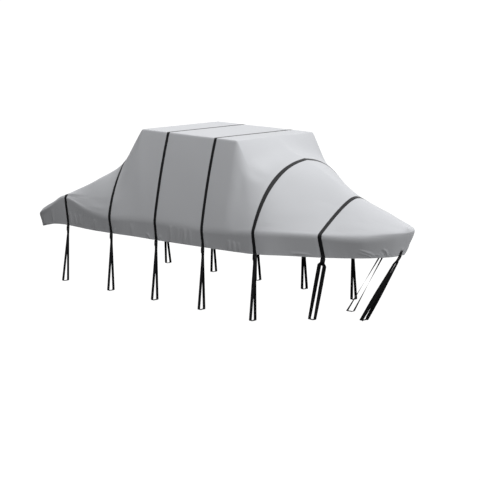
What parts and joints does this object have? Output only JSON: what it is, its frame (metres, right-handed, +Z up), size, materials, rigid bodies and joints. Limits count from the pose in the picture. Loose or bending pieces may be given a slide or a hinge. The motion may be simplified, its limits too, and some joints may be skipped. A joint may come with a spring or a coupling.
{
  "type": "fitted boat cover",
  "caption": "Fitted grey boat cover with a flat raised roof, rounded bow hood and sloping stern, webbing straps sewn over it, and buckled webbing tie-down loops under its hem.",
  "frame": {"origin": "middle of the underside of the flat roof panel, where what it covers holds it up", "axes": "+X towards the bow, +Y to port, +Z up"},
  "size_m": [6.4316, 2.0396, 2.2493],
  "materials": {
    "cloth": "grey coated polyester, fine plain weave",
    "webbing": "black flat polyester webbing",
    "buckle": "black moulded plastic, fine matte texture"
  },
  "bodies": {
    "root": {"roof_panel": "cloth", "side_panel_starboard": "cloth", "side_panel_port": "cloth", "bow_hood": "cloth", "stern_panel": "cloth", "strap_1": "webbing", "strap_2": "webbing", "strap_3": "webbing", "strap_4": "webbing", "strap_5": "webbing", "strap_6": "webbing", "buckle_1_starboard": "buckle", "buckle_2_starboard": "buckle", "buckle_3_starboard": "buckle", "buckle_4_starboard": "buckle", "buckle_5_starboard": "buckle", "buckle_6_starboard": "buckle", "buckle_1_port": "buckle", "buckle_2_port": "buckle", "buckle_3_port": "buckle", "buckle_4_port": "buckle", "buckle_5_port": "buckle", "buckle_6_port": "buckle", "tie_down_1_starboard": "webbing", "tie_down_2_starboard": "webbing", "tie_down_3_starboard": "webbing", "tie_down_4_starboard": "webbing", "tie_down_5_starboard": "webbing", "tie_down_6_starboard": "webbing", "tie_down_1_port": "webbing", "tie_down_2_port": "webbing", "tie_down_3_port": "webbing", "tie_down_4_port": "webbing", "tie_down_5_port": "webbing", "tie_down_6_port": "webbing", "bow_tab": "webbing", "bow_buckle": "buckle", "bow_tie_down": "webbing"}
  },
  "joints": []
}
